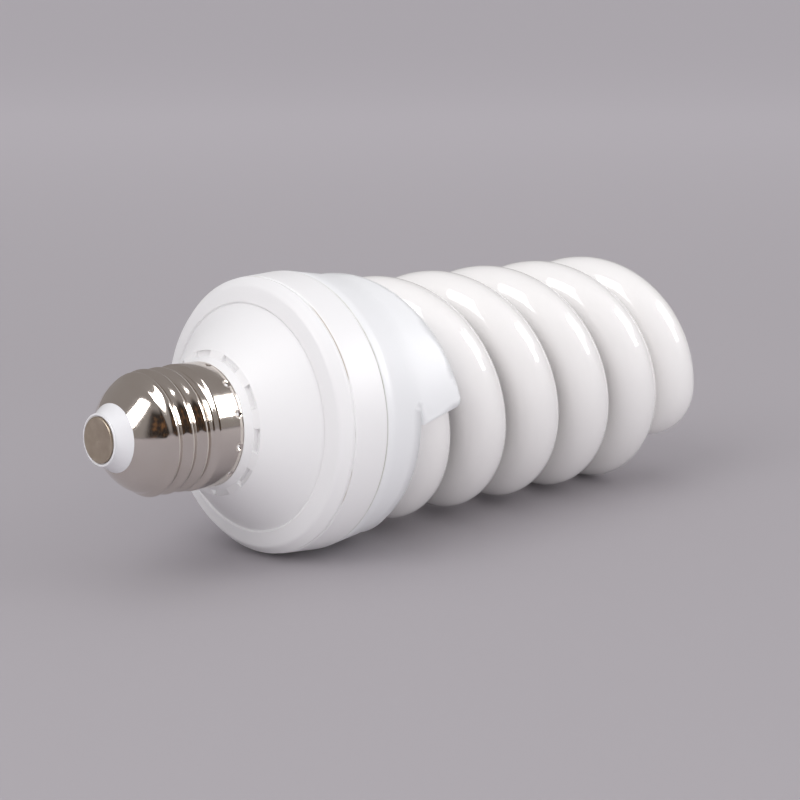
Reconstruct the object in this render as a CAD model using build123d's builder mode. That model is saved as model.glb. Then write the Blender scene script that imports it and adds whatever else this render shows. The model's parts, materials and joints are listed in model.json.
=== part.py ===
from build123d import *
from math import asin, atan, cos, degrees, pi, radians, sin, sqrt
import os

# Compact fluorescent photo bulb with an E27 screw base and a double-spiral tube, in millimetres.
# Stations are distances along the bulb axis from the face of the centre contact.
# Angles run round that axis from the top of the lying bulb towards its front side.

# Centre contact and insulator
contact_radius = 4.7
contact_thickness = 0.8
contact_edge = 0.3
shank_radius = 1.6
shank_bore = 0.9
shank_length = 6.5
insulator_lip_radius = 5.1
insulator_lip = 0.6
insulator_radius = 7.5
insulator_depth = 1.2

# Screw shell, E27 with a 27 mm cap
shell_wall = 0.4
shell_mouth_station = 3.8
shell_shoulder_station = 9.8
dome_middle_radius = 10.5
dome_middle_station = 6.8
dome_middle_lean = 41.0
dome_lean = 53.0
shell_root_radius = 12.1
shell_crest_radius = 13.1
thread_pitch = 3.629
thread_round = 1.25
thread_station = 9.15
thread_turns = 3.05
thread_start_angle = -30.0
skirt_radius = 13.3
skirt_station = 20.7
skirt_flare = 0.7
shell_rim_station = 27.2
stake_count = 12
stake_radius = 0.8
stake_depth = 0.3
stake_setback = 1.05
stake_first_angle = 11.5

# Lower housing, with its neck inside the shell
housing_wall = 1.6
neck_wall = 1.5
neck_depth = 4.0
bead_radius = 14.0
bead_height = 1.75
ring_radius = 15.5
ring_height = 0.65
recess_count = 10
recess_angle = 20.0
recess_depth = 1.2
recess_edge = 0.1
recess_first_angle = -12.0
cone_radius = 24.45
cone_station = 39.4
shoulder_step = 0.5
shoulder_round = 2.2
seam_radius = 30.0
seam_station = 42.9
seam_groove = 0.25

# Middle band, with the ledge that carries the circuit board
belly_radius = 30.55
belly_station = 51.4
ledge_width = 2.6
ledge_thickness = 1.4

# Tube cover, with two ramps that the tube comes out of
cover_station = 62.7
deck_thickness = 1.25
ramp_shoulder = 5.7
ramp_roof = 1.0
ramp_start_angle = -67.0
ramp_end_angle = 87.0
ramp_floor_station = 57.8
ramp_corner = 1.6
tunnel_clearance = 0.3
tunnel_wall = 1.15
tunnel_start_angle = -25.0
tunnel_overrun = 6.0

# Glass tube, two strands joined by a bridge
tube_radius = 6.3
coil_radius = 21.27
coil_pitch = 35.9
strand_start_station = 60.9
even_angle = 778.0
last_pitch = 26.0
curl_angle = 998.0
curl_radius = 8.3
rest_turns = 2.5
even_count = 4
easing_count = 4
curl_count = 3

# Silicone that holds the tube ends
cement_start_angle = 6.0
cement_angle = 24.0
cement_gap = 0.05

# Circuit board
board_clearance = 0.3
board_thickness = 1.6

# Ballast parts on the base side of the board, placed by height and side from the axis
capacitor_radius = 5.0
capacitor_length = 19.0
capacitor_round = 0.8
capacitor_place = (5.6, 0.0)
choke_place = (-10.5, 0.0)
choke_core_depth = 5.0
choke_core_width = 15.0
choke_core_height = 10.6
choke_leg = 3.0
choke_yoke = 2.4
bobbin_plate = 1.0
bobbin_depth = 12.0
bobbin_wall = 0.6
bobbin_gap = 0.1
winding_depth = 1.9
toroid_place = (2.0, 15.5)
toroid_radius = 5.0
toroid_bore = 2.6
toroid_height = 4.6
toroid_lift = 0.5
winding_count = 3
winding_angle = 40.0
winding_wire = 0.45
film_depth = 4.2
film_width = 9.0
film_height = 8.6
film_round = 0.8
film_places = ((12.6, -9.4), (1.2, -13.8))
transistor_depth = 3.0
transistor_width = 7.8
transistor_height = 10.6
transistor_places = ((12.4, 8.2), (-6.5, 12.2))
leg_radius = 0.35
leg_spacing = 2.3
leg_length = 1.2
inductor_place = (-8.0, -14.5)
inductor_radius = 3.4
inductor_neck_radius = 2.5
inductor_length = 7.5
inductor_flange = 1.0

# Small parts on the coil side of the board
diode_radius = 1.3
diode_length = 4.4
diode_places = ((-4.5, -5.0), (-4.5, 5.0), (4.5, -5.0), (4.5, 5.0))
resistor_radius = 1.1
resistor_length = 5.6
resistor_places = ((-11.0, 0.0), (11.0, 0.0), (0.0, 0.0))

# Posts and leads of the tube's filaments
post_radius = 0.55
post_height = 4.2
post_setback = 8.0
post_clearance = 1.6
lead_radius = 0.35
lead_spread = 1.8
lead_reach = 4.5
lead_bend = 1.2

# Wires from the base to the board
wire_radius = 0.6
wire_bend = 2.4
fuse_radius = 1.5
fuse_length = 8.0
fuse_station = 31.0
live_place = (-1.7, 0.0)
live_bend_start = 20.0
live_bend_end = 28.0
neutral_place = (0.5, 8.6)
neutral_start = 12.0
neutral_leave = 16.5
neutral_inset = 1.5
neutral_clear = 21.5

# Tunnel walls round the tube: the cover's rim outside it, the ramp inside it and over it
cover_radius = coil_radius + tube_radius + tunnel_clearance + tunnel_wall
ramp_inner_radius = coil_radius - tube_radius - tunnel_clearance - tunnel_wall
ramp_crown = tube_radius + tunnel_clearance + ramp_roof

# How the bulb lies: on its belly and on the last full turn of the coil
coil_outer_radius = coil_radius + tube_radius
coil_rest_station = strand_start_station + coil_pitch * rest_turns
lie_angle = degrees(atan((belly_radius - coil_outer_radius) / (coil_rest_station - belly_station)))

# Rise of the tube from the end of the even helix to the middle of the bridge
last_slope = last_pitch / (2 * pi * coil_radius)
even_station = strand_start_station + coil_pitch * even_angle / 360
curl_station = even_station + (coil_pitch + last_pitch) / 2 * (curl_angle - even_angle) / 360
curl_lean = asin(curl_radius / (coil_radius - curl_radius))
curl_length = curl_radius * (pi / 2 + curl_lean)
bridge_station = curl_station + last_slope * curl_length / 2
overall_length = bridge_station + tube_radius

# Frame of the bulb: x up, y to the front, z along the axis from the base to the coil
lie = radians(lie_angle)
contact_face = Vector(
    -overall_length / 2 * cos(lie),
    0,
    belly_station * sin(lie) + belly_radius * cos(lie),
)
bulb = Plane(origin=contact_face, x_dir=(sin(lie), 0, cos(lie)), z_dir=(cos(lie), 0, -sin(lie)))
bulb_axis = Axis(bulb.origin, bulb.z_dir)


def place(radius, angle, station):
    """Point at a radius, an angle round the axis and a station."""
    turn = radians(angle)
    return bulb.from_local_coords(Vector(radius * cos(turn), radius * sin(turn), station))


def across(station):
    """Plane across the bulb, looking from the coil towards the base."""
    return bulb.offset(station)


def along(angle=0.0, origin=bulb.origin):
    """Plane along the axis through a point, with radius as its x and station as its y."""
    turn = radians(angle)
    side = bulb.x_dir * cos(turn) + bulb.y_dir * sin(turn)
    return Plane(origin=origin, x_dir=side, z_dir=side.cross(bulb.z_dir))


def coil_line(start_angle, sweep_angle):
    """Even helix of the tube's centre line, for the strand that starts at the top."""
    station = strand_start_station + coil_pitch * start_angle / 360
    line = Helix(
        coil_pitch,
        coil_pitch * sweep_angle / 360,
        coil_radius,
        center=across(station).origin,
        direction=bulb.z_dir,
        mode=Mode.PRIVATE,
    )
    return line.rotate(bulb_axis, start_angle)


def section_of(line):
    """Plane square to the start of a line round the axis, x outwards and y towards the coil."""
    start = line @ 0
    foot = bulb.origin + bulb.z_dir * (start - bulb.origin).dot(bulb.z_dir)
    return Plane(origin=start, x_dir=start - foot, z_dir=-(line % 0))


def easing_point(share, half_turn):
    """Point on the centre line where the pitch eases off, as share goes from 0 to 1."""
    angle = even_angle + share * (curl_angle - even_angle)
    pitch = coil_pitch + share * (last_pitch - coil_pitch) / 2
    station = even_station + pitch * (angle - even_angle) / 360
    return place(coil_radius, angle + half_turn, station)


def curl_point(share, half_turn):
    """Point on the round bend that turns the tube in to the middle while it levels out."""
    run = share * curl_length
    station = curl_station + last_slope * (run - run ** 2 / (2 * curl_length))
    centre = place(coil_radius - curl_radius, curl_angle + half_turn, station)
    bend = curl_angle + half_turn + degrees(run / curl_radius)
    return centre + place(curl_radius, bend, station) - place(0, 0, station)


def smooth_spans(point, count, half_turn):
    """Short splines along a formula, each with the formula's own direction at its ends."""
    near = 1e-4
    ends = [number / count for number in range(count + 1)]
    ways = [point(end + near, half_turn) - point(end - near, half_turn) for end in ends]
    return [
        Spline(
            point(ends[number], half_turn),
            point((ends[number] + ends[number + 1]) / 2, half_turn),
            point(ends[number + 1], half_turn),
            tangents=(ways[number], ways[number + 1]),
            mode=Mode.PRIVATE,
        )
        for number in range(count)
    ]


def strand_lines(half_turn):
    """One strand's centre line, from its end in the cover to the straight part of the bridge."""
    part_angle = even_angle / even_count
    even = [
        coil_line(part_angle * number, part_angle).rotate(bulb_axis, half_turn)
        for number in range(even_count)
    ]
    easing = smooth_spans(easing_point, easing_count, half_turn)
    curl = smooth_spans(curl_point, curl_count, half_turn)
    return [*even, *easing, *curl]


def band_bore(station):
    """Inner radius of the middle band, which widens evenly from its seam to the belly."""
    share = (station - seam_station) / (belly_station - seam_station)
    return seam_radius + share * (belly_radius - seam_radius) - housing_wall


def keep(piece, name):
    """Labels a finished piece and writes it to its own file."""
    piece.part.label = name
    export_step(piece.part, f"parts/{name}.step")


os.makedirs("parts", exist_ok=True)

# Centre contact, an eyelet whose hollow shank takes the live wire
with BuildPart() as center_contact:
    with BuildSketch(along()):
        with BuildLine():
            Polyline(
                (shank_bore, contact_thickness),
                (shank_bore, shank_length),
                (shank_radius, shank_length),
                (shank_radius, contact_thickness),
                (contact_radius, contact_thickness),
                (contact_radius, contact_edge),
                (contact_radius - contact_edge, 0),
                (0, 0),
                (0, contact_thickness),
                (shank_bore, contact_thickness),
            )
        make_face()
    revolve(axis=bulb_axis)
keep(center_contact, "center_contact")

# Insulator between the contact and the shell
insulator_end = shell_mouth_station + insulator_depth
with BuildPart() as base_insulator:
    with BuildSketch(along()):
        with BuildLine():
            Polyline(
                (shank_radius, contact_thickness),
                (contact_radius, contact_thickness),
                (insulator_lip_radius, insulator_lip),
                (insulator_lip_radius + contact_edge, contact_thickness),
                (insulator_radius - shell_wall, shell_mouth_station),
                (insulator_radius - shell_wall, insulator_end),
                (shank_radius, insulator_end),
                (shank_radius, contact_thickness),
            )
        make_face()
    revolve(axis=bulb_axis)
keep(base_insulator, "base_insulator")

# Pressed screw shell with its round thread and the punch marks that hold it to the neck
skirt_bore = skirt_radius - shell_wall
with BuildPart() as screw_shell:
    with BuildSketch(along()):
        with BuildLine():
            mouth = (insulator_radius - shell_wall, shell_mouth_station)
            shoulder = (shell_root_radius, shell_shoulder_station)
            bore_shoulder = (shell_root_radius - shell_wall, shell_shoulder_station)
            mouth_inside = (insulator_radius - shell_wall, shell_mouth_station + shell_wall)
            dome_ends = ((0, -1), (-sin(radians(dome_lean)), -cos(radians(dome_lean))))
            middle_lean = radians(dome_middle_lean)
            dome_middle = (dome_middle_radius, dome_middle_station)
            bore_middle = (
                dome_middle_radius - shell_wall * cos(middle_lean),
                dome_middle_station + shell_wall * sin(middle_lean),
            )
            Spline(shoulder, dome_middle, mouth, tangents=dome_ends)
            Line(mouth, mouth_inside)
            Spline(bore_shoulder, bore_middle, mouth_inside, tangents=dome_ends)
            Polyline(
                bore_shoulder,
                (shell_root_radius - shell_wall, skirt_station - skirt_flare),
                (skirt_bore, skirt_station),
                (skirt_bore, shell_rim_station),
                (skirt_radius, shell_rim_station),
                (skirt_radius, skirt_station),
                (shell_root_radius, skirt_station - skirt_flare),
                shoulder,
            )
        make_face()
    revolve(axis=bulb_axis)
    thread_line = Helix(
        thread_pitch,
        thread_pitch * thread_turns,
        shell_crest_radius - thread_round,
        center=across(thread_station).origin,
        direction=bulb.z_dir,
        mode=Mode.PRIVATE,
    ).rotate(bulb_axis, thread_start_angle)
    with BuildSketch(section_of(thread_line)):
        Circle(thread_round)
        Rectangle(thread_round, 3 * thread_round, align=(Align.MAX, Align.CENTER), mode=Mode.SUBTRACT)
    sweep(path=thread_line, is_frenet=True)
    for number in range(stake_count):
        stake_angle = stake_first_angle + 360 / stake_count * number
        stake_centre = place(
            skirt_radius + stake_radius - stake_depth,
            stake_angle,
            shell_rim_station - stake_setback,
        )
        with Locations(stake_centre):
            Sphere(stake_radius, mode=Mode.SUBTRACT)
keep(screw_shell, "screw_shell")

# Lower housing: neck, bead, ring of recesses, cone and rounded shoulder
bead_station = shell_rim_station + bead_height
ring_station = bead_station + ring_height
neck_bore = skirt_bore - neck_wall
with BuildPart() as lower_housing:
    with BuildSketch(along()):
        with BuildLine():
            Polyline(
                (neck_bore, shell_rim_station - neck_depth),
                (skirt_bore, shell_rim_station - neck_depth),
                (skirt_bore, shell_rim_station),
                (skirt_radius, shell_rim_station),
                (bead_radius, bead_station),
                (ring_radius, ring_station),
                (cone_radius, cone_station),
                (cone_radius, cone_station - shoulder_step),
            )
            ThreePointArc(
                (cone_radius, cone_station - shoulder_step),
                (
                    (cone_radius + seam_radius) / 2 + shoulder_round / 4,
                    (cone_station + seam_station) / 2 - shoulder_round / 4,
                ),
                (seam_radius - seam_groove, seam_station),
            )
            Polyline(
                (seam_radius - seam_groove, seam_station),
                (seam_radius - housing_wall, seam_station),
                (cone_radius - shoulder_step, cone_station + housing_wall),
                (ring_radius - housing_wall, ring_station + housing_wall),
                (neck_bore, shell_rim_station + housing_wall),
                (neck_bore, shell_rim_station - neck_depth),
            )
        make_face()
    revolve(axis=bulb_axis)
    for number in range(recess_count):
        recess_middle = recess_first_angle + 360 / recess_count * number
        with BuildSketch(along(recess_middle - recess_angle / 2)):
            with Locations((bead_radius + recess_edge, bead_station + recess_depth)):
                Rectangle(
                    ring_radius - bead_radius - recess_edge,
                    2 * recess_depth,
                    align=(Align.MIN, Align.MAX),
                )
        revolve(axis=bulb_axis, revolution_arc=-recess_angle, mode=Mode.SUBTRACT)
keep(lower_housing, "lower_housing")

# Middle band and its ledge
ledge_station = belly_station - ledge_thickness
board_station = ledge_station - board_thickness
ledge_bore = band_bore(belly_station) - ledge_width
board_radius = min(band_bore(board_station), band_bore(ledge_station)) - board_clearance
with BuildPart() as housing_band:
    with BuildSketch(along()):
        with BuildLine():
            Polyline(
                (seam_radius - seam_groove, seam_station),
                (seam_radius, seam_station + seam_groove),
                (belly_radius, belly_station - seam_groove),
                (belly_radius - seam_groove, belly_station),
                (ledge_bore, belly_station),
                (ledge_bore, ledge_station),
                (band_bore(ledge_station), ledge_station),
                (band_bore(seam_station), seam_station),
                (seam_radius - seam_groove, seam_station),
            )
        make_face()
    revolve(axis=bulb_axis)
keep(housing_band, "housing_band")

# Tube cover: cup with a closed deck, two ramps and the tunnels that the tube lies in
ramp_sweep = ramp_end_angle - ramp_start_angle
with BuildPart() as tube_cover:
    for half_turn in (0, 180):
        ramp_line = coil_line(ramp_start_angle, ramp_sweep).rotate(bulb_axis, half_turn)
        with BuildSketch(section_of(ramp_line)):
            with BuildLine():
                inside = ramp_inner_radius - coil_radius
                outside = cover_radius - coil_radius
                Polyline(
                    (inside, ramp_shoulder),
                    (inside, -tube_radius),
                    (outside, -tube_radius),
                    (outside, ramp_shoulder),
                )
                ThreePointArc((outside, ramp_shoulder), (0, ramp_crown), (inside, ramp_shoulder))
            make_face()
        sweep(path=ramp_line, is_frenet=True)
        mouth_face = tube_cover.faces(Select.LAST).sort_by_distance(ramp_line @ 1)[0]
        crown_edge = mouth_face.edges().sort_by_distance(ramp_line @ 1 + bulb.z_dir * ramp_crown)[0]
        fillet(crown_edge, ramp_corner)
    with BuildSketch(across(ramp_floor_station)):
        Circle(2 * belly_radius)
    extrude(amount=-belly_station, mode=Mode.SUBTRACT)
    with BuildSketch(along()):
        with BuildLine():
            Polyline(
                (belly_radius - seam_groove, belly_station),
                (belly_radius, belly_station + seam_groove),
                (cover_radius, cover_station),
                (0, cover_station),
                (0, cover_station - deck_thickness),
                (cover_radius - housing_wall, cover_station - deck_thickness),
                (belly_radius - housing_wall, belly_station),
                (belly_radius - seam_groove, belly_station),
            )
        make_face()
    revolve(axis=bulb_axis)
    for half_turn in (0, 180):
        tunnel_sweep = ramp_end_angle + tunnel_overrun - tunnel_start_angle
        tunnel_line = coil_line(tunnel_start_angle, tunnel_sweep).rotate(bulb_axis, half_turn)
        with BuildSketch(section_of(tunnel_line)):
            Circle(tube_radius + tunnel_clearance)
        sweep(path=tunnel_line, is_frenet=True, mode=Mode.SUBTRACT)
keep(tube_cover, "tube_cover")

# Glass tube, one sweep along both strands and the bridge that joins them
with BuildPart() as spiral_tube:
    first_strand = strand_lines(0)
    second_strand = strand_lines(180)
    bridge = Line(first_strand[-1] @ 1, second_strand[-1] @ 1, mode=Mode.PRIVATE)
    all_lines = [*first_strand, bridge, *second_strand]
    tube_line = Wire([edge for line in all_lines for edge in line.edges()])
    with BuildSketch(Plane(origin=tube_line @ 0, z_dir=tube_line % 0)):
        Circle(tube_radius)
    sweep(path=tube_line)
keep(spiral_tube, "spiral_tube")

# Silicone sleeves that hold the two tube ends in their tunnels
with BuildPart() as tube_cement:
    for half_turn in (0, 180):
        cement_line = coil_line(cement_start_angle, cement_angle).rotate(bulb_axis, half_turn)
        with BuildSketch(section_of(cement_line)):
            Circle(tube_radius + tunnel_clearance - cement_gap)
            Circle(tube_radius + cement_gap, mode=Mode.SUBTRACT)
        sweep(path=cement_line, is_frenet=True)
keep(tube_cement, "tube_cement")

# Round circuit board under the ledge of the band
with BuildPart() as circuit_board:
    with BuildSketch(across(board_station)):
        Circle(board_radius)
    extrude(amount=board_thickness)
keep(circuit_board, "circuit_board")

# Electrolytic capacitor, standing towards the base
with BuildPart() as electrolytic_capacitor:
    with BuildSketch(across(board_station)):
        with Locations(capacitor_place):
            Circle(capacitor_radius)
    extrude(amount=-capacitor_length)
    fillet(electrolytic_capacitor.edges().filter_by(GeomType.CIRCLE), capacitor_round)
keep(electrolytic_capacitor, "electrolytic_capacitor")

# Choke: bobbin with a plate on the board, double-E core and winding
core_plane = across(board_station - bobbin_plate)
window_height = choke_core_height - 2 * choke_yoke
window_width = (choke_core_width - 3 * choke_leg) / 2
sleeve_depth = choke_core_depth + 2 * (bobbin_gap + bobbin_wall)
sleeve_width = choke_leg + 2 * (bobbin_gap + bobbin_wall)
with BuildPart() as choke_core:
    with BuildSketch(core_plane):
        with Locations(choke_place):
            Rectangle(choke_core_depth, choke_core_width)
    extrude(amount=-choke_core_height)
    with BuildSketch(core_plane.offset(-choke_yoke)):
        with Locations(choke_place):
            with GridLocations(0, choke_leg + window_width, 1, 2):
                Rectangle(choke_core_depth, window_width)
    extrude(amount=-window_height, mode=Mode.SUBTRACT)
keep(choke_core, "choke_core")

with BuildPart() as choke_bobbin:
    with BuildSketch(across(board_station)):
        with Locations(choke_place):
            Rectangle(bobbin_depth, choke_core_width)
    extrude(amount=-bobbin_plate)
    with BuildSketch(core_plane):
        with Locations(choke_place):
            with GridLocations(choke_core_depth + 2 * bobbin_gap + bobbin_wall, 0, 2, 1):
                Rectangle(bobbin_wall, sleeve_width)
    extrude(amount=-(choke_yoke + bobbin_gap))
    with BuildSketch(core_plane.offset(-choke_yoke - bobbin_gap)):
        with Locations(choke_place):
            Rectangle(sleeve_depth, sleeve_width)
            Rectangle(
                choke_core_depth + 2 * bobbin_gap,
                choke_leg + 2 * bobbin_gap,
                mode=Mode.SUBTRACT,
            )
    extrude(amount=-(window_height - 2 * bobbin_gap))
keep(choke_bobbin, "choke_bobbin")

with BuildPart() as choke_winding:
    with BuildSketch(core_plane.offset(-choke_yoke - bobbin_gap)):
        with Locations(choke_place):
            RectangleRounded(
                sleeve_depth + 2 * winding_depth,
                sleeve_width + 2 * winding_depth,
                winding_depth,
            )
            Rectangle(sleeve_depth, sleeve_width, mode=Mode.SUBTRACT)
    extrude(amount=-(window_height - 2 * bobbin_gap))
keep(choke_winding, "choke_winding")

# Ring transformer with its short windings
toroid_up, toroid_front = toroid_place
toroid_centre = bulb.from_local_coords(Vector(toroid_up, toroid_front, board_station))
toroid_axis = Axis(toroid_centre, bulb.z_dir)
ring_middle = (toroid_radius + toroid_bore) / 2
ring_low = toroid_lift + toroid_height / 2
with BuildPart() as toroid_core:
    with BuildSketch(along(origin=toroid_centre)):
        with Locations((ring_middle, -ring_low)):
            Rectangle(toroid_radius - toroid_bore, toroid_height)
    revolve(axis=toroid_axis)
keep(toroid_core, "toroid_core")

with BuildPart() as toroid_windings:
    for number in range(winding_count):
        with BuildSketch(along(360 / winding_count * number, toroid_centre)):
            with Locations((ring_middle, -ring_low)):
                Rectangle(
                    toroid_radius - toroid_bore + 2 * winding_wire,
                    toroid_height + 2 * winding_wire,
                )
                Rectangle(toroid_radius - toroid_bore, toroid_height, mode=Mode.SUBTRACT)
        revolve(axis=toroid_axis, revolution_arc=winding_angle)
keep(toroid_windings, "toroid_windings")

# Film capacitors
with BuildPart() as film_capacitors:
    with BuildSketch(across(board_station)):
        with Locations(*film_places):
            RectangleRounded(film_depth, film_width, film_round)
    extrude(amount=-film_height)
keep(film_capacitors, "film_capacitors")

# Power transistors on their legs
with BuildPart() as power_transistors:
    with BuildSketch(across(board_station - leg_length)):
        with Locations(*transistor_places):
            Rectangle(transistor_depth, transistor_width)
    extrude(amount=-transistor_height)
    with BuildSketch(across(board_station)):
        with Locations(*transistor_places):
            with GridLocations(0, leg_spacing, 1, 3):
                Circle(leg_radius)
    extrude(amount=-leg_length)
keep(power_transistors, "power_transistors")

# Drum inductor of the input filter
inductor_up, inductor_front = inductor_place
inductor_centre = bulb.from_local_coords(Vector(inductor_up, inductor_front, board_station))
with BuildPart() as filter_inductor:
    with BuildSketch(along(origin=inductor_centre)):
        with BuildLine():
            Polyline(
                (0, 0),
                (inductor_radius, 0),
                (inductor_radius, -inductor_flange),
                (inductor_neck_radius, -inductor_flange),
                (inductor_neck_radius, inductor_flange - inductor_length),
                (inductor_radius, inductor_flange - inductor_length),
                (inductor_radius, -inductor_length),
                (0, -inductor_length),
                (0, 0),
            )
        make_face()
    revolve(axis=Axis(inductor_centre, bulb.z_dir))
keep(filter_inductor, "filter_inductor")

# Diodes and resistors, lying on the coil side of the board
board_top = board_station + board_thickness
with BuildPart() as rectifier_diodes:
    for up, front in diode_places:
        with BuildSketch(along().offset(-front - diode_length / 2)):
            with Locations((up, board_top + diode_radius)):
                Circle(diode_radius)
        extrude(amount=diode_length)
keep(rectifier_diodes, "rectifier_diodes")

with BuildPart() as resistors:
    for up, front in resistor_places:
        with BuildSketch(along().offset(-front - resistor_length / 2)):
            with Locations((up, board_top + resistor_radius)):
                Circle(resistor_radius)
        extrude(amount=resistor_length)
keep(resistors, "resistors")

# Posts for the filament leads, a pair in front of each tube end and clear of the ledge
post_reach = ledge_bore - post_radius - post_clearance
outer_post_up = sqrt(post_reach ** 2 - post_setback ** 2)
post_ups = (outer_post_up, outer_post_up - 2 * lead_spread)
post_places = [(turn * up, -turn * post_setback) for turn in (1, -1) for up in post_ups]
with BuildPart() as lead_posts:
    with BuildSketch(across(board_top)):
        with Locations(*post_places):
            Circle(post_radius)
    extrude(amount=post_height)
keep(lead_posts, "lead_posts")

# Filament leads from the tube ends to the posts
helix_lean = atan(coil_pitch / (2 * pi * coil_radius))
post_top = board_top + post_height
with BuildPart() as filament_leads:
    for turn in (1, -1):
        for spread, post_up in zip((lead_spread, -lead_spread), post_ups):
            lead_up = turn * (coil_radius + spread)
            reach_front = -turn * lead_reach * cos(helix_lean)
            reach_station = strand_start_station - lead_reach * sin(helix_lean)
            with BuildLine() as lead_line:
                FilletPolyline(
                    bulb.from_local_coords(Vector(lead_up, 0, strand_start_station)),
                    bulb.from_local_coords(Vector(lead_up, reach_front, reach_station)),
                    bulb.from_local_coords(
                        Vector(turn * post_up, -turn * post_setback, post_top + lead_radius)
                    ),
                    radius=lead_bend,
                )
            with BuildSketch(Plane(origin=lead_line.line @ 0, z_dir=lead_line.line % 0)):
                Circle(lead_radius)
            sweep(path=lead_line.line)
keep(filament_leads, "filament_leads")

# Live wire from the contact's shank to the board, with a fuse resistor in its run
live_up, live_front = live_place
live_points = [
    bulb.from_local_coords(Vector(0, 0, contact_thickness)),
    bulb.from_local_coords(Vector(0, 0, live_bend_start)),
    bulb.from_local_coords(Vector(live_up, live_front, live_bend_end)),
    bulb.from_local_coords(Vector(live_up, live_front, board_station)),
]
with BuildPart() as live_wire:
    with BuildLine() as live_line:
        FilletPolyline(*live_points, radius=wire_bend)
    with BuildSketch(across(contact_thickness)):
        Circle(wire_radius)
    sweep(path=live_line.line)
    with BuildSketch(across(fuse_station)):
        with Locations(live_place):
            Circle(fuse_radius)
    extrude(amount=fuse_length, mode=Mode.SUBTRACT)
keep(live_wire, "live_wire")

with BuildPart() as fuse_resistor:
    with BuildSketch(across(fuse_station)):
        with Locations(live_place):
            Circle(fuse_radius)
    extrude(amount=fuse_length)
keep(fuse_resistor, "fuse_resistor")

# Neutral wire from the inside of the shell to the board
neutral_up, neutral_front = neutral_place
neutral_side = shell_root_radius - shell_wall - wire_radius
neutral_points = [
    bulb.from_local_coords(Vector(0, neutral_side, neutral_start)),
    bulb.from_local_coords(Vector(0, neutral_side, neutral_leave)),
    bulb.from_local_coords(Vector(0, neutral_side - neutral_inset, neutral_clear)),
    bulb.from_local_coords(Vector(neutral_up, neutral_front, board_station)),
]
with BuildPart() as neutral_wire:
    with BuildLine() as neutral_line:
        FilletPolyline(*neutral_points, radius=wire_bend)
    with BuildSketch(across(neutral_start)):
        with Locations((0, neutral_side)):
            Circle(wire_radius)
    sweep(path=neutral_line.line)
keep(neutral_wire, "neutral_wire")
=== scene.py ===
import json
import bmesh
import bpy
import numpy as np
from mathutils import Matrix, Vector


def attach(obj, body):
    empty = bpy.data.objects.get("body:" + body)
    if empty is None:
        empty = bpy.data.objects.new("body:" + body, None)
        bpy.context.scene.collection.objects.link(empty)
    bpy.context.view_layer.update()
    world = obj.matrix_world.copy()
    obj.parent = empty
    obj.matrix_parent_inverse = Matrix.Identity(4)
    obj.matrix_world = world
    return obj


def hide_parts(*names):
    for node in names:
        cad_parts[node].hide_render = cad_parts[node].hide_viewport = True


# Looks of a lying photo bulb: threaded nickel base, white ballast housing, double-spiral opal tube.
# Sizes are in millimetres and angles in degrees, and points become metres in the bulb's own frame.
# A station is a distance along the bulb's axis from the face of its centre contact.
# An angle runs round that axis from the top of the lying bulb towards its front side.

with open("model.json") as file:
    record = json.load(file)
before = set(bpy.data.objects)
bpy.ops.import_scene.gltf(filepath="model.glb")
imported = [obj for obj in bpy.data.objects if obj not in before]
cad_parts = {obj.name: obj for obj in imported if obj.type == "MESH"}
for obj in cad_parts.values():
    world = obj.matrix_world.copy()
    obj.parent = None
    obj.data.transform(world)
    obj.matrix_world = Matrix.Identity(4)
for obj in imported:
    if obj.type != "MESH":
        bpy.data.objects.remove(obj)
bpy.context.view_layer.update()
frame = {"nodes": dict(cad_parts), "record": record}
MM = 0.001
sharp_angle = 38.0

# The bulb's own frame, read from the mount on its contact
contact_mount = next(
    mount for mount in frame["record"]["mounts"] if mount["name"] == "center_contact_face"
)
contact_centre = np.array(contact_mount["pos_m"])
to_coil = -np.array(contact_mount["axis"])
to_coil /= np.linalg.norm(to_coil)
to_front = np.array((0.0, -1.0, 0.0))
to_top = np.cross(to_front, to_coil)

# Contact and insulator
contact_radius = 4.7
contact_thickness = 0.8
shank_radius = 1.6
shank_length = 6.5
contact_round = 0.3
contact_back_round = 0.1
dimple_width = 2.2
dimple_depth = 0.12
dimple_unevenness = 0.3
dimple_turn = 40.0
insulator_lip_radius = 5.1
insulator_mouth_radius = 7.1
insulator_end = 5.0
lip_round = 0.33
lip_offset = 0.05
lip_station = 0.62
hollow_offset = 0.15
hollow_start_station = 0.75
hollow_power = 0.85

# Screw shell
shell_wall = 0.4
shell_mouth_station = 3.8
shell_shoulder_station = 9.8
dome_power = 1.6
root_radius = 12.1
crest_radius = 13.1
thread_pitch = 3.629
thread_start_station = 9.15
thread_start_angle = -30.0
thread_turns = 3.05
crest_power = 0.9
run_in_turns = (-0.03, 0.12)
run_out_turns = 0.12
skirt_radius = 13.3
skirt_station = 20.7
skirt_flare = 0.7
flare_overrun = 0.4
rim_station = 27.2
stake_count = 12
stake_first_angle = 11.5
stake_depth = 0.55
stake_spread = 0.62
stake_setback = 1.05
stake_fan = 7.0
stake_lip_height = 0.10
stake_lip_distance = 1.5
stake_lip_width = 0.45
rim_roll_depth = 0.16

# Housing
housing_wall = 1.6
neck_bore = 11.4
neck_depth = 4.0
bead_radius = 14.0
bead_station = 28.95
ring_radius = 15.5
ring_station = 29.6
recess_count = 10
recess_first_angle = -12.0
recess_angle = 20.0
recess_depth = 1.2
recess_edge = 0.1
recess_wall_width = 0.03
recess_wall_angle = 0.1
recess_margin = 1.2
cone_radius = 24.45
cone_station = 39.4
shoulder_step = 0.5
shoulder_bulge = 0.95
seam_radius = 30.0
seam_station = 42.9
seam_groove = 0.25
seam_round = 0.1
belly_radius = 30.55
belly_station = 51.4
ledge_width = 2.6
ledge_thickness = 1.4

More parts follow.
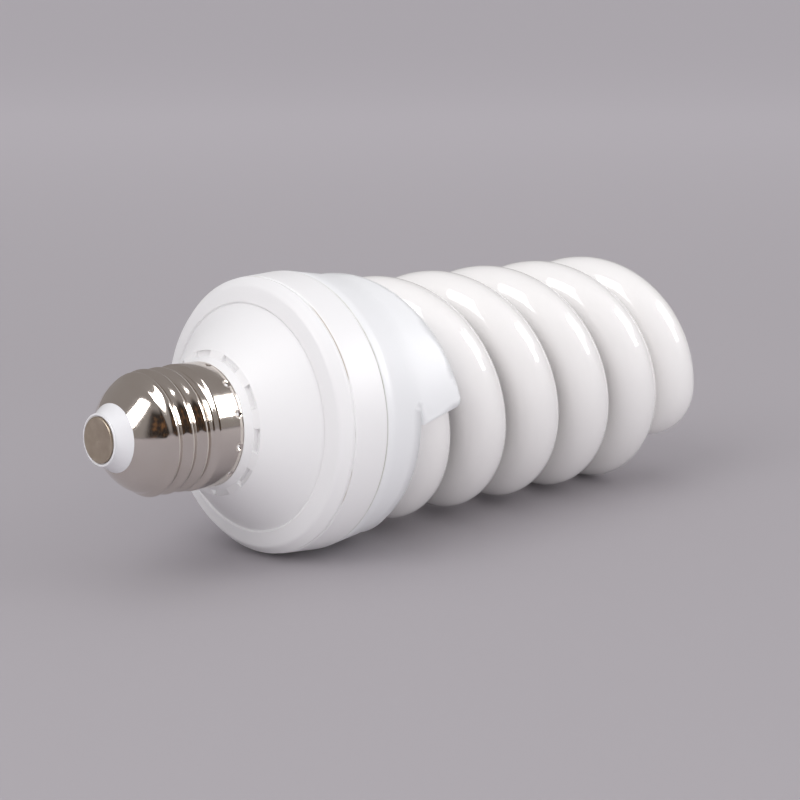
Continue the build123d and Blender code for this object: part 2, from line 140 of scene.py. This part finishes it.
# Glass tube
tube_radius = 6.3
coil_radius = 21.27
coil_pitch = 35.9
strand_start_station = 60.9
even_angle = 778.0
last_pitch = 26.0
curl_angle = 998.0
curl_radius = 8.3
tube_end_round = 1.5
ring_gap = 0.95
ring_points = 60
end_rings = 7


def at(radius, angle, station):
    """Points at a radius, an angle round the axis and a station: centre plus radius times the turned
    up and front directions plus station times the axis, in metres."""
    turn = np.radians(angle)
    radial = np.cos(turn)[..., None] * to_top + np.sin(turn)[..., None] * to_front
    along = np.asarray(station, float)[..., None] * to_coil
    return contact_centre + MM * (np.asarray(radius, float)[..., None] * radial + along)


def smooth_step(low, high, value):
    """Rises from 0 at low to 1 at high along three t squared minus two t cubed."""
    share = np.clip((value - low) / (high - low), 0, 1)
    return share * share * (3 - 2 * share)


def rounded_outline(corners, spacing=0.6, arc_steps=6):
    """Closed outline through corners (radius, station, rounding): each corner becomes an arc tangent to
    its two sides, and each straight side is divided evenly."""
    points = np.array([corner[:2] for corner in corners], float)
    rounding = np.array([corner[2] for corner in corners], float)
    before = np.roll(points, 1, axis=0) - points
    after = np.roll(points, -1, axis=0) - points
    before /= np.linalg.norm(before, axis=1)[:, None]
    after /= np.linalg.norm(after, axis=1)[:, None]
    half = np.arccos(np.clip((before * after).sum(1), -1, 1)) / 2
    setback = rounding / np.tan(half)
    arcs = []
    for point, radius, back, first, second, open_half in zip(
        points, rounding, setback, before, after, half
    ):
        if radius <= 0:
            arcs.append(point[None])
            continue
        start, end = point + first * back, point + second * back
        centre = point + (first + second) / np.linalg.norm(first + second) * radius / np.sin(open_half)
        share = np.linspace(0, 1, arc_steps + 1)[:, None]
        span = np.pi - 2 * open_half
        arc = (np.sin((1 - share) * span) * (start - centre) + np.sin(share * span) * (end - centre))
        arcs.append(centre + arc / np.sin(span))
    outline = []
    for arc, following in zip(arcs, arcs[1:] + arcs[:1]):
        outline.append(arc)
        side = following[0] - arc[-1]
        count = max(int(np.linalg.norm(side) / spacing), 1)
        outline.append(arc[-1] + side * (np.arange(1, count) / count)[:, None])
    return np.concatenate(outline)


def grid_mesh(name, points, replaced):
    """Mesh of a grid of points that is closed both ways: face i, j joins points i, j to i+1, j+1."""
    rows, columns = points.shape[:2]
    number = np.arange(rows * columns).reshape(rows, columns)
    next_row = np.roll(number, -1, axis=0)
    faces = np.stack(
        [number, np.roll(number, -1, axis=1), np.roll(next_row, -1, axis=1), next_row], axis=-1
    )
    mesh = bpy.data.meshes.new(name)
    mesh.vertices.add(rows * columns)
    mesh.vertices.foreach_set("co", points.reshape(-1).astype(np.float32))
    mesh.loops.add(faces.size)
    mesh.loops.foreach_set("vertex_index", faces.reshape(-1).astype(np.int32))
    mesh.polygons.add(rows * columns)
    mesh.polygons.foreach_set("loop_start", np.arange(0, faces.size, 4, dtype=np.int32))
    mesh.update(calc_edges=True)
    return piece_of(name, mesh, replaced)


def piece_of(name, mesh, replaced):
    """Closes a mesh's seams and poles, turns its faces outwards and makes it a piece of the bulb."""
    shape = bmesh.new()
    shape.from_mesh(mesh)
    bmesh.ops.remove_doubles(shape, verts=shape.verts, dist=1e-7)
    bmesh.ops.recalc_face_normals(shape, faces=shape.faces)
    shape.to_mesh(mesh)
    shape.free()
    mesh.shade_smooth()
    mesh.set_sharp_from_angle(angle=np.radians(sharp_angle))
    piece = bpy.data.objects.new(name, mesh)
    bpy.context.scene.collection.objects.link(piece)
    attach(piece, "root")
    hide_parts(replaced)
    return piece


def turned(name, outline, angles, replaced, relief=None):
    """Closed outline carried round the axis; relief returns what is added to radius and station."""
    radius = outline[:, 0][:, None] + np.zeros_like(angles)[None]
    station = outline[:, 1][:, None] + np.zeros_like(angles)[None]
    if relief is not None:
        added_radius, added_station = relief(radius, angles[None] + np.zeros_like(radius), station)
        radius, station = radius + added_radius, station + added_station
    return grid_mesh(name, at(radius, angles[None] + np.zeros_like(radius), station), replaced)


def even_angles(count):
    """Angles of count equal steps round the axis."""
    return np.arange(count) * 360 / count


# Contact: dimpled disc with a soft edge and its shank
def make_contact():
    """Disc turned about the axis, its face sinking smoothly towards the middle, by a depth that varies
    with the cosine of twice the angle."""
    outline = rounded_outline(
        [
            (0, 0.0, 0),
            (contact_radius, 0.0, contact_round),
            (contact_radius, contact_thickness, contact_back_round),
            (shank_radius, contact_thickness, 0),
            (shank_radius, shank_length, 0),
            (0, shank_length, 0),
        ],
        spacing=0.25,
    )

    def dimple(radius, angle, station):
        on_face = station < contact_thickness / 2
        inwards = smooth_step(contact_radius, contact_radius - dimple_width, radius)
        uneven = 1 + dimple_unevenness * np.cos(np.radians(angle * 2 + dimple_turn))
        return 0, dimple_depth * on_face * inwards * uneven

    return turned("contact_disc", outline, even_angles(120), "center_contact", dimple)


# Insulator: raised lip, hollow cone, collar inside the shell
def make_insulator():
    """Ring turned about the axis: a round lip, then a hollow cone whose station rises from the lip to
    the shell's mouth by a power of the way outwards."""
    share = np.linspace(0, 1, 16)
    inner_radius = insulator_lip_radius + hollow_offset
    cone = np.stack(
        [
            inner_radius + (insulator_mouth_radius - inner_radius) * share,
            hollow_start_station + (shell_mouth_station - hollow_start_station) * share ** hollow_power,
        ],
        axis=1,
    )
    lip_turn = np.radians(np.linspace(200, 20, 12))
    lip_radius = insulator_lip_radius + lip_offset + lip_round * np.cos(lip_turn)
    lip = np.stack([lip_radius, lip_station - lip_round * np.sin(lip_turn)], axis=1)
    inside = np.array(
        [
            (insulator_mouth_radius, insulator_end),
            (shank_radius, insulator_end),
            (shank_radius, contact_thickness),
            (contact_radius, contact_thickness),
        ]
    )
    outline = np.concatenate([lip, cone, inside])
    return turned("insulator_ring", outline, even_angles(160), "base_insulator")


# Shell: dome, rolled thread, skirt, rim and punch marks
def shell_profile(station):
    """Radius of the pressed shell without its thread: a dome that rises by one minus a power of what
    is left to its shoulder, a cylinder, a flare and the skirt."""
    share = np.clip(
        (station - shell_mouth_station) / (shell_shoulder_station - shell_mouth_station), 0, 1
    )
    dome = root_radius - (root_radius - insulator_mouth_radius) * (1 - share) ** dome_power
    flare = smooth_step(skirt_station - skirt_flare, skirt_station + flare_overrun, station)
    return dome + (skirt_radius - root_radius) * flare


def thread_relief(angle, station):
    """Height of the round thread: a raised cosine round the nearest turn of the ridge, whose station
    grows by one pitch for each turn, fading out at both of its ends."""
    share = ((angle - thread_start_angle) % 360) / 360
    along = (station - thread_start_station) / thread_pitch - share
    nearest = np.round(along)
    wave = (1 + np.cos(2 * np.pi * (along - nearest))) / 2
    start = smooth_step(*run_in_turns, nearest + share)
    end = smooth_step(thread_turns + run_out_turns, thread_turns - run_out_turns, nearest + share)
    return (crest_radius - root_radius) * wave ** crest_power * start * end


def make_shell():
    """Sheet carried round the axis: profile plus thread, less a half sine wave at its rolled rim, less
    a bell-shaped dent with a raised lip at each punch mark. Its inner side lies one wall further in."""
    thread_low = thread_start_station - 2
    thread_high = skirt_station + 0.6
    dome_share = np.linspace(0, 1, 22)[:-1] ** 1.6
    stations = np.concatenate(
        [
            dome_share * (thread_low - shell_mouth_station) + shell_mouth_station,
            np.linspace(thread_low, thread_high, 116)[:-1],
            np.linspace(thread_high, rim_station, 48),
        ]
    )
    period = 360 / stake_count
    fan = np.concatenate(
        [np.linspace(-stake_fan, stake_fan, 22), np.linspace(stake_fan, period - stake_fan, 9)[1:-1]]
    )
    angles = np.concatenate([stake_first_angle + period * number + fan for number in range(stake_count)])
    grid_angle, grid_station = np.meshgrid(angles, stations)
    outer = shell_profile(grid_station) + thread_relief(grid_angle, grid_station)
    roll = smooth_step(rim_station - 1.0, rim_station + 0.5, grid_station)
    nearest = (grid_angle - stake_first_angle + period / 2) % period - period / 2
    across = np.radians(nearest) * skirt_radius
    along = grid_station - (rim_station - stake_setback)
    distance = np.hypot(across, along) / stake_spread
    lip = stake_lip_height * np.exp(-((distance - stake_lip_distance) / stake_lip_width) ** 2)
    dent = stake_depth * np.exp(-distance ** 2) - lip
    off_rim = smooth_step(0.0, 0.9, rim_station - grid_station)
    outer = outer - rim_roll_depth * np.sin(np.pi * roll) - dent * off_rim
    outer = np.minimum(outer, skirt_radius)
    inner_rows = np.append(np.arange(0, len(stations) - 1, 4), len(stations) - 1)[::-1]
    radius = np.concatenate([outer, outer[inner_rows] - shell_wall])
    station = np.concatenate([grid_station, grid_station[inner_rows]])
    angle = np.concatenate([grid_angle, grid_angle[inner_rows]])
    return grid_mesh("threaded_shell", at(radius, angle, station), "screw_shell")


# Lower housing
def make_lower_housing():
    """Closed outline turned about the axis, with flat recesses sunk along the axis into the neck ring."""
    middle_radius = (cone_radius + seam_radius) / 2 + shoulder_bulge
    middle_station = (cone_station - shoulder_step + seam_station) / 2 - shoulder_bulge
    recess_low = bead_radius + recess_edge
    recess_high = ring_radius - recess_edge
    ring_slope = (ring_station - bead_station) / (ring_radius - bead_radius)
    face_radii = (
        recess_low,
        recess_low + recess_wall_width,
        recess_high - recess_wall_width,
        recess_high,
    )
    face_corners = [
        (radius, bead_station + (radius - bead_radius) * ring_slope, 0) for radius in face_radii
    ]
    outline = rounded_outline(
        [
            (neck_bore, rim_station - neck_depth, 0),
            (skirt_radius - shell_wall, rim_station - neck_depth, 0),
            (skirt_radius - shell_wall, rim_station, 0),
            (skirt_radius, rim_station, 0.05),
            (bead_radius, bead_station, 0.06),
            *face_corners,
            (ring_radius, ring_station, 0.05),
            (cone_radius, cone_station, 0.2),
            (cone_radius + 0.3, cone_station - shoulder_step, 0.2),
            (middle_radius, middle_station, 1.9),
            (seam_radius - 0.12, seam_station - 0.8, 0.5),
            (seam_radius - seam_groove, seam_station, 0.12),
            (seam_radius - housing_wall, seam_station, 0),
            (cone_radius - shoulder_step, cone_station + housing_wall, 0.5),
            (ring_radius - housing_wall, ring_station + housing_wall, 0.5),
            (neck_bore, rim_station + housing_wall, 0),
        ],
        spacing=0.45,
    )
    edge = recess_angle / 2
    period = 360 / recess_count
    fan = np.concatenate(
        [
            np.linspace(-edge, edge, 13),
            [edge + recess_wall_angle],
            np.linspace(edge + recess_margin, period - edge - recess_margin, 9),
            [period - edge - recess_wall_angle],
        ]
    )
    turns = [recess_first_angle + period * number + fan for number in range(recess_count)]
    angles = np.concatenate(turns)

    def recesses(radius, angle, station):
        offset = (angle - recess_first_angle + period / 2) % period - period / 2
        in_fan = np.abs(offset) < edge + recess_wall_angle / 2
        inside_rim = (radius > recess_low + 0.01) & (radius < recess_high - 0.01)
        sunk = in_fan & inside_rim & (station < ring_station)
        return 0, np.where(sunk, bead_station + recess_depth - station, 0)

    return turned(
        "lower_housing_shell", outline, angles, "lower_housing", recesses
    )


# Middle band
def make_band():
    """Closed outline turned about the axis, its edges rounded towards both seams."""
    ledge_station = belly_station - ledge_thickness
    ledge_bore = belly_radius - housing_wall - ledge_width
    ledge_share = (ledge_station - seam_station) / (belly_station - seam_station)
    wall_bore = seam_radius + (belly_radius - seam_radius) * ledge_share - housing_wall
    outline = rounded_outline(
        [
            (seam_radius - seam_groove, seam_station, seam_round),
            (seam_radius, seam_station + seam_groove, seam_groove),
            (belly_radius, belly_station - seam_groove, seam_groove),
            (belly_radius - seam_groove, belly_station, seam_round),
            (ledge_bore, belly_station, 0),
            (ledge_bore, ledge_station, 0),
            (wall_bore, ledge_station, 0),
            (seam_radius - housing_wall, seam_station, 0),
        ],
        spacing=0.7,
    )
    return turned("middle_band", outline, even_angles(288), "housing_band")


# Tube cover
def make_cover():
    """Copy of the cover's own shape with its seams closed."""
    mesh = frame["nodes"]["tube_cover"].data.copy()
    mesh.materials.clear()
    return piece_of("cover_shell", mesh, "tube_cover")


# Glass tube
def tube_centre_line():
    """Centre line in bulb coordinates (up, front, station): an even helix, a helix whose pitch eases
    off, a round bend that turns in to the middle, and the same strand turned by half a turn."""
    last_slope = last_pitch / (2 * np.pi * coil_radius)
    even_station = strand_start_station + coil_pitch * even_angle / 360
    curl_station = even_station + (coil_pitch + last_pitch) / 2 * (curl_angle - even_angle) / 360
    curl_lean = np.arcsin(curl_radius / (coil_radius - curl_radius))
    curl_length = curl_radius * (np.pi / 2 + curl_lean)
    even = np.linspace(0, even_angle, 1600)
    easing = np.linspace(0, 1, 500)[1:]
    easing_angle = even_angle + easing * (curl_angle - even_angle)
    easing_pitch = coil_pitch + easing * (last_pitch - coil_pitch) / 2
    angle = np.radians(np.concatenate([even, easing_angle]))
    station = np.concatenate(
        [
            strand_start_station + coil_pitch * even / 360,
            even_station + easing_pitch * (easing_angle - even_angle) / 360,
        ]
    )
    helix = np.stack([coil_radius * np.cos(angle), coil_radius * np.sin(angle), station], axis=1)
    run = np.linspace(0, curl_length, 80)[1:]
    start = np.radians(curl_angle)
    bend = start + run / curl_radius
    curl = np.stack(
        [
            (coil_radius - curl_radius) * np.cos(start) + curl_radius * np.cos(bend),
            (coil_radius - curl_radius) * np.sin(start) + curl_radius * np.sin(bend),
            curl_station + last_slope * (run - run ** 2 / (2 * curl_length)),
        ],
        axis=1,
    )
    strand = np.concatenate([helix, curl])
    other = strand[::-1] * (-1, -1, 1)
    share = np.linspace(0, 1, 40)[1:-1, None]
    bridge = strand[-1] + (other[0] - strand[-1]) * share
    return np.concatenate([strand, bridge, other])


def make_tube():
    """Circle carried along the centre line, evenly spaced, with rounded closed ends. The circle lies
    along the tangent's cross product with the axis and the cross product of that with the tangent."""
    line = tube_centre_line()
    length = np.concatenate([[0], np.cumsum(np.linalg.norm(np.diff(line, axis=0), axis=1))])
    quarter = np.linspace(0, np.pi / 2, end_rings)[:-1]
    first = tube_end_round * (1 - np.cos(quarter))
    middle = np.linspace(tube_end_round, length[-1] - tube_end_round, int(length[-1] / ring_gap))
    run = np.concatenate([first, middle, length[-1] - first[::-1]])
    end_width = tube_radius - tube_end_round + tube_end_round * np.sin(quarter)
    width = np.concatenate([end_width, np.full(len(middle), tube_radius), end_width[::-1]])
    run = np.concatenate([[0], run, [length[-1]]])
    width = np.concatenate([[0], width, [0]])
    centre = np.stack([np.interp(run, length, line[:, axis]) for axis in range(3)], axis=1)
    slope = np.gradient(line, length, axis=0)
    tangent = np.stack([np.interp(run, length, slope[:, axis]) for axis in range(3)], axis=1)
    tangent /= np.linalg.norm(tangent, axis=1)[:, None]
    side = np.cross(tangent, (0, 0, 1))
    side /= np.linalg.norm(side, axis=1)[:, None]
    lift = np.cross(side, tangent)
    turn = np.radians(even_angles(ring_points))
    ring = np.cos(turn)[None, :, None] * side[:, None] + np.sin(turn)[None, :, None] * lift[:, None]
    local = centre[:, None] + width[:, None, None] * ring
    points = contact_centre + MM * local @ np.stack([to_top, to_front, to_coil])
    number = np.arange(points.shape[0] * points.shape[1]).reshape(points.shape[:2])
    faces = np.stack(
        [
            number[:-1],
            np.roll(number, -1, axis=1)[:-1],
            np.roll(number, -1, axis=1)[1:],
            number[1:],
        ],
        axis=-1,
    )
    mesh = bpy.data.meshes.new("opal_tube")
    mesh.from_pydata(points.reshape(-1, 3), [], faces.reshape(-1, 4).tolist())
    return piece_of("opal_tube", mesh, "spiral_tube")


# Shader helpers
finish_ior = 1.45


def node_tree(name):
    """New material with its node tree and its Principled node."""
    material = bpy.data.materials.new(name)
    material.use_nodes = True
    tree = material.node_tree
    return material, tree, tree.nodes["Principled BSDF"]


def feed(tree, socket, value):
    """Links another node's output to a socket, or sets a number or a colour of three numbers on it."""
    if isinstance(value, bpy.types.NodeSocket):
        tree.links.new(value, socket)
    elif isinstance(value, tuple):
        socket.default_value = (*value, 1)
    else:
        socket.default_value = value


def math_node(tree, operation, *values):
    """Output of a math node whose inputs are numbers or outputs of other nodes."""
    node = tree.nodes.new("ShaderNodeMath")
    node.operation = operation
    for socket, value in zip(node.inputs, values):
        feed(tree, socket, value)
    return node.outputs[0]


def ramp_node(tree, value, low, high):
    """Output that rises smoothly from 0 where the value is low to 1 where it is high."""
    node = tree.nodes.new("ShaderNodeMapRange")
    node.interpolation_type = "SMOOTHSTEP"
    for label, given in (("Value", value), ("From Min", low), ("From Max", high)):
        feed(tree, node.inputs[label], given)
    return node.outputs["Result"]


def mix_node(tree, factor, first, second):
    """Colour output between two colours, each of them three numbers or another node's output."""
    node = tree.nodes.new("ShaderNodeMix")
    node.data_type = "RGBA"
    for label, given in (("Factor", factor), ("A", first), ("B", second)):
        feed(tree, node.inputs[label], given)
    return node.outputs["Result"]


def noise_node(tree, place, scale, detail=2.0):
    """Value of a noise at a position, with a scale per metre."""
    node = tree.nodes.new("ShaderNodeTexNoise")
    for label, given in (("Vector", place), ("Scale", scale), ("Detail", detail)):
        feed(tree, node.inputs[label], given)
    return node.outputs["Fac"]


def dot_node(tree, place, direction):
    """Dot product of a position with a fixed direction."""
    node = tree.nodes.new("ShaderNodeVectorMath")
    node.operation = "DOT_PRODUCT"
    node.inputs[1].default_value = direction
    tree.links.new(place, node.inputs[0])
    return node.outputs["Value"]


def new_group(name, inputs, outputs):
    """Node group with number inputs by label and default, and outputs by label and kind. Returns it
    with its inner input and output sockets and the object position."""
    group = bpy.data.node_groups.new(name, "ShaderNodeTree")
    for label, value in inputs.items():
        socket = group.interface.new_socket(name=label, in_out="INPUT", socket_type="NodeSocketFloat")
        socket.default_value = value
    for label, kind in outputs.items():
        group.interface.new_socket(name=label, in_out="OUTPUT", socket_type=f"NodeSocket{kind}")
    given = group.nodes.new("NodeGroupInput").outputs
    result = group.nodes.new("NodeGroupOutput").inputs
    return group, given, result, group.nodes.new("ShaderNodeTexCoord").outputs["Object"]


def placed_group(tree, group, values):
    """Outputs of a node group placed in a material, with its inputs set by name."""
    node = tree.nodes.new("ShaderNodeGroup")
    node.node_tree = group
    for label, value in values.items():
        node.inputs[label.replace("_", " ").title()].default_value = value
    return node.outputs


def ring_group():
    """Stain round the axis: one at its station, falling evenly to none at its half width, and broken
    up in part by noise. The station is the position's dot product with the axis."""
    group, given, result, place = new_group(
        "ring_stain",
        {"Station": 40.0, "Half Width": 0.3, "Breaks": 0.5, "Break Scale": 300.0},
        {"Strength": "Float"},
    )
    along = dot_node(group, place, to_coil / MM)
    station = math_node(group, "SUBTRACT", along, float(contact_centre @ to_coil / MM))
    away = math_node(group, "ABSOLUTE", math_node(group, "SUBTRACT", station, given["Station"]))
    share = math_node(group, "DIVIDE", away, given["Half Width"])
    fall = math_node(group, "MAXIMUM", math_node(group, "SUBTRACT", 1.0, share), 0.0)
    gone = ramp_node(group, noise_node(group, place, given["Break Scale"]), 0.58, 0.42)
    kept = math_node(group, "SUBTRACT", 1.0, math_node(group, "MULTIPLY", given["Breaks"], gone))
    group.links.new(math_node(group, "MULTIPLY", fall, kept), result["Strength"])
    return group


def surface_group():
    """Fine unevenness of a surface: noise at two scales gives a normal, a roughness and a mottle."""
    group, given, result, place = new_group(
        "fine_surface",
        {
            "Grain Scale": 900.0,
            "Grain Depth": 0.02,
            "Mottle Scale": 60.0,
            "Roughness": 0.4,
            "Roughness Spread": 0.1,
        },
        {"Normal": "Vector", "Roughness": "Float", "Mottle": "Float"},
    )
    bump = group.nodes.new("ShaderNodeBump")
    bump.inputs["Distance"].default_value = 0.0001
    group.links.new(given["Grain Depth"], bump.inputs["Strength"])
    group.links.new(noise_node(group, place, given["Grain Scale"], 3.0), bump.inputs["Height"])
    mottle = noise_node(group, place, given["Mottle Scale"], 4.0)
    centred = math_node(group, "SUBTRACT", mottle, 0.5)
    uneven = math_node(group, "MULTIPLY_ADD", centred, given["Roughness Spread"], given["Roughness"])
    group.links.new(bump.outputs["Normal"], result["Normal"])
    group.links.new(uneven, result["Roughness"])
    group.links.new(mottle, result["Mottle"])
    return group


fine_surface = surface_group()
ring_stain = ring_group()


def finish_material(name, dark, light, metal=0.0, coat=0.0, coat_roughness=0.03, **values):
    """Principled finish whose colour runs between two tones by the mottle, over the fine surface."""
    material, tree, shader = node_tree(name)
    fine = placed_group(tree, fine_surface, values)
    tree.links.new(mix_node(tree, fine["Mottle"], dark, light), shader.inputs["Base Color"])
    tree.links.new(fine["Roughness"], shader.inputs["Roughness"])
    tree.links.new(fine["Normal"], shader.inputs["Normal"])
    shader.inputs["Metallic"].default_value = metal
    shader.inputs["Coat Weight"].default_value = coat
    shader.inputs["Coat Roughness"].default_value = coat_roughness
    shader.inputs["IOR"].default_value = finish_ior
    return material


def stain(material, colour, amount, **values):
    """Lays a colour over a material's own colour round the axis, by the strength of a ring stain."""
    tree = material.node_tree
    base = tree.nodes["Principled BSDF"].inputs["Base Color"]
    ring = placed_group(tree, ring_stain, values)
    strength = math_node(tree, "MULTIPLY", ring["Strength"], amount)
    tree.links.new(mix_node(tree, strength, base.links[0].from_socket, colour), base)


def dress(piece, material):
    """Gives a piece or a CAD node one material."""
    piece.data.materials.clear()
    piece.data.materials.append(material)


contact = make_contact()
insulator = make_insulator()
shell = make_shell()
lower_housing = make_lower_housing()
band = make_band()
cover = make_cover()
tube = make_tube()

dress(contact, finish_material(
    "dull_contact", (0.42, 0.34, 0.25), (0.68, 0.60, 0.50), metal=1.0,
    grain_scale=1400, grain_depth=0.25, mottle_scale=500, roughness=0.42, roughness_spread=0.3))
dress(insulator, finish_material(
    "gloss_insulator", (0.80, 0.80, 0.82), (0.86, 0.86, 0.88), coat=0.4,
    grain_scale=300, grain_depth=0.05, mottle_scale=200, roughness=0.3, roughness_spread=0.1))
dress(shell, finish_material(
    "bright_nickel", (0.68, 0.62, 0.56), (0.78, 0.73, 0.68), metal=1.0,
    grain_scale=700, grain_depth=0.10, mottle_scale=160, roughness=0.10, roughness_spread=0.12))
housing_white = finish_material(
    "housing_white", (0.875, 0.87, 0.875), (0.895, 0.89, 0.895),
    grain_scale=2600, grain_depth=0.10, mottle_scale=40, roughness=0.48, roughness_spread=0.1)
cover_white = finish_material(
    "cover_white", (0.87, 0.88, 0.895), (0.885, 0.895, 0.91),
    grain_scale=2600, grain_depth=0.10, mottle_scale=40, roughness=0.42, roughness_spread=0.1)
stain(housing_white, (0.30, 0.20, 0.10), 0.8,
      station=seam_station, half_width=0.16, breaks=1.0, break_scale=70)
for seamed in (housing_white, cover_white):
    stain(seamed, (0.36, 0.34, 0.24), 0.6,
          station=belly_station, half_width=0.26, breaks=0.3, break_scale=200)
dress(lower_housing, housing_white)
dress(band, housing_white)
dress(cover, cover_white)
dress(tube, finish_material(
    "opal_glass", (0.89, 0.875, 0.865), (0.92, 0.905, 0.895), coat=1.0, coat_roughness=0.02,
    grain_scale=200, grain_depth=0.02, mottle_scale=60, roughness=0.55, roughness_spread=0.05))

# Pieces inside the housing keep their CAD shape
inner_finishes = {
    "tube_cement": ((0.74, 0.73, 0.70), (0.82, 0.81, 0.78), 0.0, 0.5),
    "circuit_board": ((0.42, 0.30, 0.12), (0.55, 0.42, 0.20), 0.0, 0.5),
    "electrolytic_capacitor": ((0.03, 0.04, 0.06), (0.06, 0.07, 0.10), 0.0, 0.25),
    "choke_core": ((0.06, 0.06, 0.07), (0.11, 0.11, 0.12), 0.0, 0.6),
    "choke_bobbin": ((0.03, 0.03, 0.03), (0.05, 0.05, 0.05), 0.0, 0.45),
    "choke_winding": ((0.55, 0.24, 0.10), (0.78, 0.42, 0.20), 1.0, 0.3),
    "toroid_core": ((0.05, 0.05, 0.06), (0.10, 0.10, 0.10), 0.0, 0.6),
    "toroid_windings": ((0.55, 0.24, 0.10), (0.78, 0.42, 0.20), 1.0, 0.3),
    "film_capacitors": ((0.30, 0.06, 0.03), (0.42, 0.10, 0.06), 0.0, 0.25),
    "power_transistors": ((0.02, 0.02, 0.02), (0.04, 0.04, 0.04), 0.0, 0.4),
    "filter_inductor": ((0.06, 0.06, 0.07), (0.11, 0.11, 0.12), 0.0, 0.6),
    "rectifier_diodes": ((0.02, 0.02, 0.02), (0.05, 0.05, 0.05), 0.0, 0.3),
    "resistors": ((0.50, 0.42, 0.26), (0.62, 0.53, 0.36), 0.0, 0.4),
    "lead_posts": ((0.45, 0.45, 0.46), (0.62, 0.62, 0.63), 1.0, 0.35),
    "filament_leads": ((0.45, 0.45, 0.46), (0.62, 0.62, 0.63), 1.0, 0.35),
    "live_wire": ((0.66, 0.64, 0.58), (0.76, 0.74, 0.68), 0.0, 0.45),
    "neutral_wire": ((0.66, 0.64, 0.58), (0.76, 0.74, 0.68), 0.0, 0.45),
    "fuse_resistor": ((0.08, 0.20, 0.10), (0.14, 0.30, 0.16), 0.0, 0.45),
}
for node, (dark, light, metal, roughness) in inner_finishes.items():
    dress(frame["nodes"][node], finish_material(
        f"{node}_finish", dark, light, metal=metal,
        grain_scale=1800, grain_depth=0.15, mottle_scale=400, roughness=roughness, roughness_spread=0.1))

# Floor, its tone rising with the distance in front of the camera: painted light, the far floor made
# lighter to make up for the lamps' light falling off there
near_tone = (0.42, 0.397, 0.42)
far_tone = (0.62, 0.59, 0.625)
floor_reach = 60.0
look_ahead = (0.70, 0.71, 0)
mesh = bpy.data.meshes.new("floor")
corners = [(-1, -1), (1, -1), (1, 1), (-1, 1)]
mesh.from_pydata([(floor_reach * x, floor_reach * y, 0) for x, y in corners], [], [(0, 1, 2, 3)])
floor = bpy.data.objects.new("floor", mesh)
bpy.context.scene.collection.objects.link(floor)
material, tree, shader = node_tree("studio_floor")
place = tree.nodes.new("ShaderNodeTexCoord").outputs["Object"]
far = ramp_node(tree, dot_node(tree, place, look_ahead), -0.1, 1.6)
tree.links.new(mix_node(tree, far, near_tone, far_tone), shader.inputs["Base Color"])
shader.inputs["Roughness"].default_value = 0.8
shader.inputs["Specular IOR Level"].default_value = 0.1
dress(floor, material)

# World: an even studio, and for what mirrors it a dark room with some warm clutter beside the camera
studio_tone = (0.66, 0.65, 0.665)
mirrored_tone = (0.30, 0.28, 0.275)
room_tone = (0.035, 0.028, 0.024)
clutter_tone = (0.22, 0.11, 0.05)
room_azimuth = -110
room_side = (44, 34)
room_top = (0.80, 0.62)
world = bpy.data.worlds.new("studio")
bpy.context.scene.world = world
world.use_nodes = True
tree = world.node_tree
way = tree.nodes.new("ShaderNodeTexCoord").outputs["Generated"]
split = tree.nodes.new("ShaderNodeSeparateXYZ")
tree.links.new(way, split.inputs[0])
azimuth = math_node(tree, "ARCTAN2", split.outputs["Y"], split.outputs["X"])
away = math_node(tree, "ABSOLUTE", math_node(tree, "SUBTRACT", azimuth, np.radians(room_azimuth)))
beside = ramp_node(tree, away, *np.radians(room_side))
below = ramp_node(tree, split.outputs["Z"], *room_top)
clutter = ramp_node(tree, noise_node(tree, way, 7.0), 0.5, 0.7)
room = mix_node(tree, clutter, room_tone, clutter_tone)
mirrored = mix_node(tree, math_node(tree, "MULTIPLY", beside, below), mirrored_tone, room)
glossy = tree.nodes.new("ShaderNodeLightPath").outputs["Is Glossy Ray"]
studio = mix_node(tree, glossy, studio_tone, mirrored)
tree.links.new(studio, tree.nodes["Background"].inputs["Color"])


lamp_aim_height = 0.03


def area_lamp(name, azimuth, elevation, distance, size, power, mirrored):
    """Area lamp at an azimuth and elevation from the bulb's middle, facing it. A mirrored one shows
    only in reflections, and any other one only lights up what is matt."""
    turn, rise = np.radians(azimuth), np.radians(elevation)
    lamp = bpy.data.lights.new(name, "AREA")
    lamp.shape = "RECTANGLE"
    lamp.size, lamp.size_y = size
    lamp.energy = power
    holder = bpy.data.objects.new(name, lamp)
    holder.visible_glossy = mirrored
    holder.visible_diffuse = not mirrored
    way = Vector((np.cos(turn) * np.cos(rise), np.sin(turn) * np.cos(rise), np.sin(rise)))
    place = way * distance
    holder.location = place + Vector((0, 0, lamp_aim_height))
    holder.rotation_euler = place.to_track_quat("Z", "Y").to_euler()
    bpy.context.scene.collection.objects.link(holder)


area_lamp("right_light", -50, 32, 1.3, (0.7, 0.7), 1.8, False)
area_lamp("left_light", -172, 40, 1.3, (0.8, 0.9), 4.8, False)
area_lamp("top_light", 90, 78, 1.6, (1.2, 1.2), 2.0, False)
area_lamp("front_light", -104, 4, 1.5, (1.4, 0.5), 7.4, False)
area_lamp("right_box", -57, 32, 1.3, (0.36, 0.72), 13.0, True)
area_lamp("side_box", -36, 34, 1.3, (0.36, 0.42), 2.2, True)
area_lamp("left_box", -175, 38, 1.3, (0.46, 0.95), 9.5, True)

# Camera where the photograph was taken from
camera_place = (-0.31328, -0.320351, 0.120317)
camera_downwards = 11.5872
camera_turn = -44.5595
lens = bpy.data.cameras.new("camera")
lens.lens = 90
lens.sensor_width = 36
lens.clip_start = 0.01
lens.clip_end = 200
camera = bpy.data.objects.new("camera", lens)
camera.location = camera_place
camera.rotation_euler = (np.radians(90 - camera_downwards), 0, np.radians(camera_turn))
bpy.context.scene.collection.objects.link(camera)
bpy.context.scene.camera = camera
bpy.context.scene.view_settings.view_transform = "Standard"
